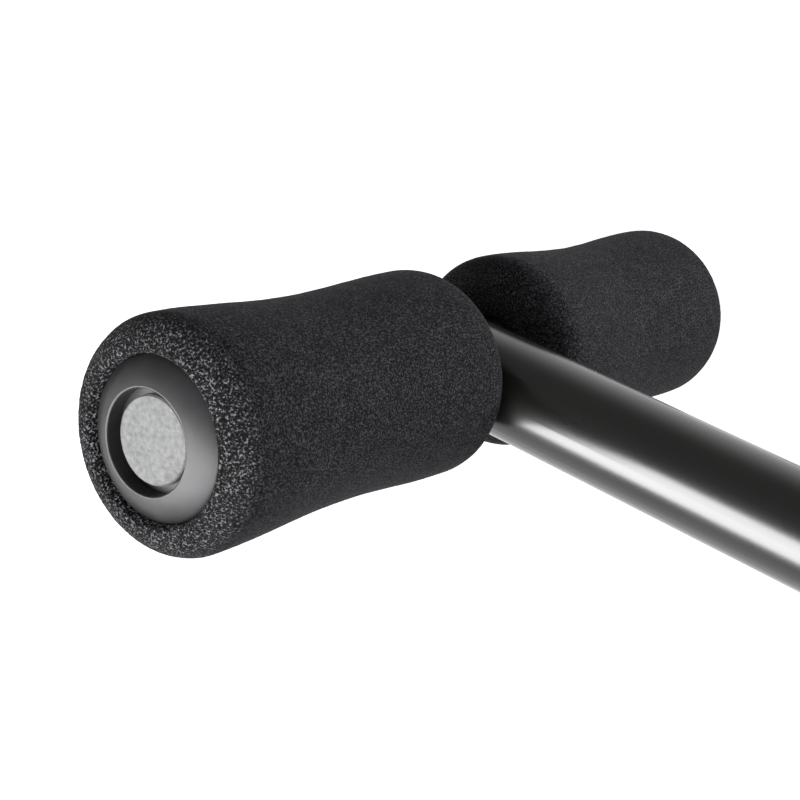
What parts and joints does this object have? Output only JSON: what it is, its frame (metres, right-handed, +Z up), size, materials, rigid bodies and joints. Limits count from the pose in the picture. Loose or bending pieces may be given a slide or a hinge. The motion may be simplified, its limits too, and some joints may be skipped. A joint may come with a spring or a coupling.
{
  "type": "pull up bar",
  "caption": "Doorway leverage pull up bar of black steel tube, with foam rollers on cross axles at the feet, a padded rear hook bar and foam grips on the front bar.",
  "frame": {"origin": "centre of the flat underside of the rear rubber seat strip, which stands on the top edge of the far door casing", "axes": "+X to the right, -Y towards the person using the bar, +Z up"},
  "size_m": [1.0718, 0.5917, 0.509],
  "materials": {
    "black_powder_coat": "semi-gloss black powder coat on steel",
    "roller_foam": "black closed-cell foam with a fine granular skin",
    "grip_foam": "black closed-cell foam grip",
    "cap_plastic": "satin moulded black plastic",
    "axle_plug_plastic": "matt light grey moulded plastic",
    "plug_plastic": "fine textured black plastic",
    "seat_rubber": "matt black rubber",
    "zinc_steel": "bright zinc plate"
  },
  "bodies": {
    "frame": {"axle_welds": "black_powder_coat", "bar_welds": "black_powder_coat", "brace_welds": "black_powder_coat", "cross_brace": "black_powder_coat", "handle_welds": "black_powder_coat", "hook_bolts": "zinc_steel", "hook_nuts": "zinc_steel", "hook_washers": "zinc_steel", "hook_welds": "black_powder_coat", "left_arm_plug": "plug_plastic", "left_axle": "black_powder_coat", "left_bar_plug": "plug_plastic", "left_brace_tab": "black_powder_coat", "left_close_grip": "grip_foam", "left_foot_plug": "plug_plastic", "left_hook_arm": "black_powder_coat", "left_hook_bar_plug": "plug_plastic", "left_inner_axle_plug": "axle_plug_plastic", "left_neutral_grip": "grip_foam", "left_neutral_handle": "black_powder_coat", "left_neutral_plug": "plug_plastic", "left_outer_axle_plug": "axle_plug_plastic", "left_upright": "black_powder_coat", "left_wide_grip": "grip_foam", "pull_up_bar": "black_powder_coat", "rear_hook_bar": "black_powder_coat", "right_arm_plug": "plug_plastic", "right_axle": "black_powder_coat", "right_bar_plug": "plug_plastic", "right_brace_tab": "black_powder_coat", "right_close_grip": "grip_foam", "right_foot_plug": "plug_plastic", "right_hook_arm": "black_powder_coat", "right_hook_bar_plug": "plug_plastic", "right_inner_axle_plug": "axle_plug_plastic", "right_neutral_grip": "grip_foam", "right_neutral_handle": "black_powder_coat", "right_neutral_plug": "plug_plastic", "right_outer_axle_plug": "axle_plug_plastic", "right_upright": "black_powder_coat", "right_wide_grip": "grip_foam", "seat_strip": "seat_rubber"},
    "left_outer_roller": {"left_outer_foam_roller": "roller_foam", "left_outer_roller_end_cap": "cap_plastic", "left_outer_roller_tube_bush": "cap_plastic"},
    "left_inner_roller": {"left_inner_foam_roller": "roller_foam", "left_inner_roller_end_cap": "cap_plastic", "left_inner_roller_tube_bush": "cap_plastic"},
    "right_outer_roller": {"right_outer_foam_roller": "roller_foam", "right_outer_roller_end_cap": "cap_plastic", "right_outer_roller_tube_bush": "cap_plastic"},
    "right_inner_roller": {"right_inner_foam_roller": "roller_foam", "right_inner_roller_end_cap": "cap_plastic", "right_inner_roller_tube_bush": "cap_plastic"}
  },
  "joints": [
    {"name": "left_outer_roller_spin", "type": "hinge", "parent": "frame", "child": "left_outer_roller", "pos_m": [-0.4409, -0.188, -0.39], "axis": [1, 0, 0], "continuous": true},
    {"name": "left_inner_roller_spin", "type": "hinge", "parent": "frame", "child": "left_inner_roller", "pos_m": [-0.2591, -0.188, -0.39], "axis": [1, 0, 0], "continuous": true},
    {"name": "right_outer_roller_spin", "type": "hinge", "parent": "frame", "child": "right_outer_roller", "pos_m": [0.4409, -0.188, -0.39], "axis": [1, 0, 0], "continuous": true},
    {"name": "right_inner_roller_spin", "type": "hinge", "parent": "frame", "child": "right_inner_roller", "pos_m": [0.2591, -0.188, -0.39], "axis": [1, 0, 0], "continuous": true}
  ]
}
